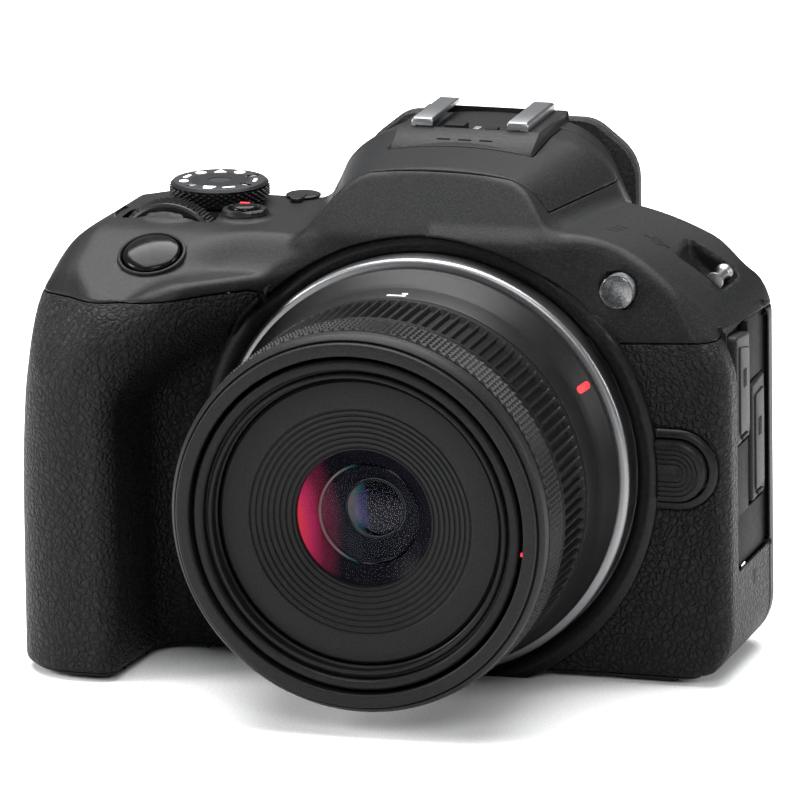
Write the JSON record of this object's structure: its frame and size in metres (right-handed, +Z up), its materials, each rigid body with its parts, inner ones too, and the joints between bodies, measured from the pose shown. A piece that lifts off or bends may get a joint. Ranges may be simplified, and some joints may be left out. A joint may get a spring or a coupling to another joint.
{
  "type": "mirrorless camera",
  "caption": "Compact mirrorless camera with a deep hand grip, viewfinder hump, accessory shoe, pop-up flash, control dials and a retractable zoom lens.",
  "frame": {"origin": "mouth of the tripod socket in the base, under the lens axis and on the image plane", "axes": "+Z up, the lens looks along -Y, the hand grip is on the -X side and the ports on the +X side"},
  "size_m": [0.1167, 0.0897, 0.086],
  "materials": {
    "body_plastic": "fine satin moulded texture",
    "leatherette": "coarse leather grain",
    "magnesium": "cast",
    "bright_metal": "satin",
    "steel": "machined",
    "sensor_glass": "coated",
    "black_metal": "matt black",
    "circuit_board": "solder mask",
    "screen": "gloss",
    "cover_glass": "polished",
    "rubber": "matt",
    "contact_gold": "plated",
    "clear_window": "moulded clear",
    "battery_case": "satin",
    "button_plastic": "satin",
    "gloss_black": "polished",
    "dial_plastic": "satin knurled",
    "lens_plastic": "satin",
    "rim_plastic": "fine matt",
    "coated_glass": "multi-coated"
  },
  "bodies": {
    "body": {"front_cover": "body_plastic", "top_cover": "body_plastic", "rear_cover": "body_plastic", "bottom_cover": "body_plastic", "grip_leatherette": "leatherette", "front_leatherette": "leatherette", "chassis": "magnesium", "mount_ring": "bright_metal", "tripod_bush": "steel", "image_sensor": "sensor_glass", "shutter_frame": "black_metal", "main_board": "circuit_board", "body_screws": "steel", "screen_panel": "screen", "screen_window": "cover_glass", "eyepiece_lens": "cover_glass", "eyecup": "rubber", "shoe_housing": "body_plastic", "shoe_rails": "bright_metal", "shoe_contacts": "contact_gold", "af_lamp_window": "clear_window", "strap_lugs": "bright_metal", "battery": "battery_case", "memory_card": "battery_case", "battery_box": "body_plastic", "port_panel": "button_plastic", "port_sockets": "bright_metal", "lens_mount": "lens_plastic", "lens_barrel": "lens_plastic", "front_rim": "rim_plastic", "rear_element": "coated_glass"},
    "shutter_button": {"shutter_button": "gloss_black"},
    "movie_button": {"movie_button": "button_plastic"},
    "main_dial": {"main_dial": "dial_plastic"},
    "mode_dial": {"mode_dial": "dial_plastic"},
    "power_lever": {"power_lever": "button_plastic"},
    "diopter_dial": {"diopter_dial": "button_plastic"},
    "lens_release_button": {"lens_release_button": "button_plastic"},
    "lens_lock_pin": {"lens_lock_pin": "steel"},
    "ae_lock_button": {"ae_lock_button": "button_plastic"},
    "af_point_button": {"af_point_button": "button_plastic"},
    "info_button": {"info_button": "button_plastic"},
    "menu_button": {"menu_button": "button_plastic"},
    "playback_button": {"playback_button": "button_plastic"},
    "set_button": {"set_button": "button_plastic"},
    "keypad_ring": {"keypad_ring": "button_plastic"},
    "shutter_curtain": {"shutter_curtain": "black_metal"},
    "flash": {"flash_head": "body_plastic", "flash_window": "clear_window"},
    "port_cover_upper": {"port_cover_upper": "rubber"},
    "port_cover_lower": {"port_cover_lower": "rubber"},
    "battery_door": {"battery_door": "body_plastic"},
    "door_latch": {"door_latch": "button_plastic"},
    "zoom_ring": {"zoom_ring": "lens_plastic"},
    "zoom_barrel": {"inner_barrel": "lens_plastic", "front_bezel": "lens_plastic", "front_element": "coated_glass", "aperture_unit": "black_metal"},
    "control_ring": {"control_ring": "lens_plastic"},
    "focus_cell": {"focus_cell": "lens_plastic"}
  },
  "joints": [
    {"name": "shutter_press", "type": "slide", "parent": "body", "child": "shutter_button", "axis": [0, 0.4067, -0.9135], "range_m": [0, 0.0012], "stiffness_N_per_m": 300},
    {"name": "movie_press", "type": "slide", "parent": "body", "child": "movie_button", "axis": [0, 0, -1], "range_m": [0, 0.0006], "stiffness_N_per_m": 250},
    {"name": "main_dial_turn", "type": "hinge", "parent": "body", "child": "main_dial", "pos_m": [-0.0468, -0.0045, 0.0644], "axis": [0, 1, 0], "continuous": true},
    {"name": "mode_dial_turn", "type": "hinge", "parent": "body", "child": "mode_dial", "pos_m": [-0.042, 0.0065, 0.072], "axis": [0, 0, 1], "continuous": true},
    {"name": "power_turn", "type": "hinge", "parent": "body", "child": "power_lever", "pos_m": [-0.0295, 0.0125, 0.071], "axis": [0, 0, 1], "range_deg": [0, 35]},
    {"name": "diopter_turn", "type": "hinge", "parent": "body", "child": "diopter_dial", "pos_m": [0.0215, 0.017, 0.065], "axis": [1, 0, 0], "range_deg": [-120, 120]},
    {"name": "release_press", "type": "slide", "parent": "body", "child": "lens_release_button", "axis": [0, 1, 0], "range_m": [0, 0.002], "stiffness_N_per_m": 400},
    {"name": "lock_pin_slide", "type": "slide", "parent": "body", "child": "lens_lock_pin", "axis": [0, 1, 0], "range_m": [0, 0.0021]},
    {"name": "ae_lock_press", "type": "slide", "parent": "body", "child": "ae_lock_button", "axis": [0, -1, 0], "range_m": [0, 0.0005], "stiffness_N_per_m": 250},
    {"name": "af_point_press", "type": "slide", "parent": "body", "child": "af_point_button", "axis": [0, -1, 0], "range_m": [0, 0.0005], "stiffness_N_per_m": 250},
    {"name": "info_press", "type": "slide", "parent": "body", "child": "info_button", "axis": [0, -1, 0], "range_m": [0, 0.0005], "stiffness_N_per_m": 250},
    {"name": "menu_press", "type": "slide", "parent": "body", "child": "menu_button", "axis": [0, -1, 0], "range_m": [0, 0.0005], "stiffness_N_per_m": 250},
    {"name": "playback_press", "type": "slide", "parent": "body", "child": "playback_button", "axis": [0, -1, 0], "range_m": [0, 0.0005], "stiffness_N_per_m": 250},
    {"name": "set_press", "type": "slide", "parent": "body", "child": "set_button", "axis": [0, -1, 0], "range_m": [0, 0.0005], "stiffness_N_per_m": 250},
    {"name": "keypad_tilt", "type": "hinge", "parent": "body", "child": "keypad_ring", "pos_m": [-0.043, 0.0129, 0.03], "axis": [1, 0, 0], "range_deg": [-3, 3], "stiffness_Nm_per_rad": 0.02},
    {"name": "curtain_travel", "type": "slide", "parent": "body", "child": "shutter_curtain", "axis": [0, 0, 1], "range_m": [0, 0.016]},
    {"name": "flash_lift", "type": "hinge", "parent": "body", "child": "flash", "pos_m": [0, 0.0175, 0.078], "axis": [-1, 0, 0], "range_deg": [0, 60]},
    {"name": "upper_cover_swing", "type": "hinge", "parent": "body", "child": "port_cover_upper", "pos_m": [0.0491, -0.0086, 0.0475], "axis": [0, 0, -1], "range_deg": [0, 95]},
    {"name": "lower_cover_swing", "type": "hinge", "parent": "body", "child": "port_cover_lower", "pos_m": [0.0491, 0.0008, 0.0368], "axis": [0, 0, -1], "range_deg": [0, 95]},
    {"name": "battery_door_swing", "type": "hinge", "parent": "body", "child": "battery_door", "pos_m": [-0.0389, -0.013, 0.0005], "axis": [0, -1, 0], "range_deg": [0, 95]},
    {"name": "door_latch_slide", "type": "slide", "parent": "battery_door", "child": "door_latch", "axis": [1, 0, 0], "range_m": [0, 0.003], "stiffness_N_per_m": 100},
    {"name": "zoom_turn", "type": "hinge", "parent": "body", "child": "zoom_ring", "pos_m": [0, -0.041, 0.035], "axis": [0, -1, 0], "range_deg": [0, 80]},
    {"name": "zoom_extend", "type": "slide", "parent": "body", "child": "zoom_barrel", "axis": [0, -1, 0], "range_m": [0, 0.0161]},
    {"name": "control_turn", "type": "hinge", "parent": "body", "child": "control_ring", "pos_m": [0, -0.053, 0.035], "axis": [0, -1, 0], "continuous": true},
    {"name": "focus_travel", "type": "slide", "parent": "zoom_barrel", "child": "focus_cell", "axis": [0, -1, 0], "range_m": [-0.002, 0.002]}
  ],
  "couplings": [
    {"joint": "lock_pin_slide", "follows": "release_press", "ratio": 1},
    {"joint": "zoom_extend", "follows": "zoom_turn", "m_per_rad": 0.011459}
  ]
}
